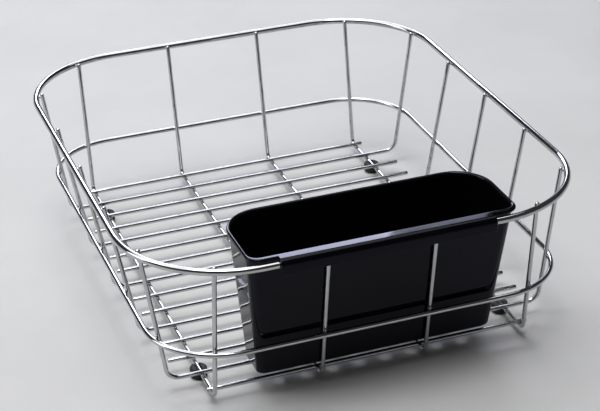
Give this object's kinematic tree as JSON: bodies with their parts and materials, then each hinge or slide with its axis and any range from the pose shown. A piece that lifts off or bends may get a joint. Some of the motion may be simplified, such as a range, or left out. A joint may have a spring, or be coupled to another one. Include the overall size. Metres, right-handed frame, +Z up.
{
  "type": "dish drying rack",
  "caption": "Chromed wire dish drying rack for a sink bowl, a rounded basket with floor bars and a black plastic cutlery caddy hooked over its front rim.",
  "frame": {"origin": "middle of the overall box in plan, on the surface that the four feet stand on", "axes": "+X along the front rim to the right, +Y from the caddy at the front to the back, +Z up"},
  "size_m": [0.3552, 0.4152, 0.126],
  "materials": {
    "chrome_wire": "bright chrome plate on steel wire",
    "caddy_plastic": "high gloss black moulded plastic",
    "foot_rubber": "matte soft rubber"
  },
  "bodies": {
    "basket": {"top_rim": "chrome_wire", "mid_ring": "chrome_wire", "cross_wire_1": "chrome_wire", "cross_wire_2": "chrome_wire", "cross_wire_3": "chrome_wire", "cross_wire_4": "chrome_wire", "cross_wire_5": "chrome_wire", "long_wire_1": "chrome_wire", "long_wire_2": "chrome_wire", "long_wire_3": "chrome_wire", "long_wire_4": "chrome_wire", "floor_bar_1": "chrome_wire", "floor_bar_2": "chrome_wire", "floor_bar_3": "chrome_wire", "floor_bar_4": "chrome_wire", "floor_bar_5": "chrome_wire", "floor_bar_6": "chrome_wire", "floor_bar_7": "chrome_wire", "floor_bar_8": "chrome_wire", "floor_bar_9": "chrome_wire", "floor_bar_10": "chrome_wire", "foot_front_left": "foot_rubber", "foot_front_right": "foot_rubber", "foot_back_left": "foot_rubber", "foot_back_right": "foot_rubber"},
    "caddy": {"cutlery_caddy": "caddy_plastic"}
  },
  "joints": [
    {"name": "caddy_lift", "type": "slide", "parent": "basket", "child": "caddy", "axis": [0, 0, 1], "range_m": [0, 0.12]}
  ]
}
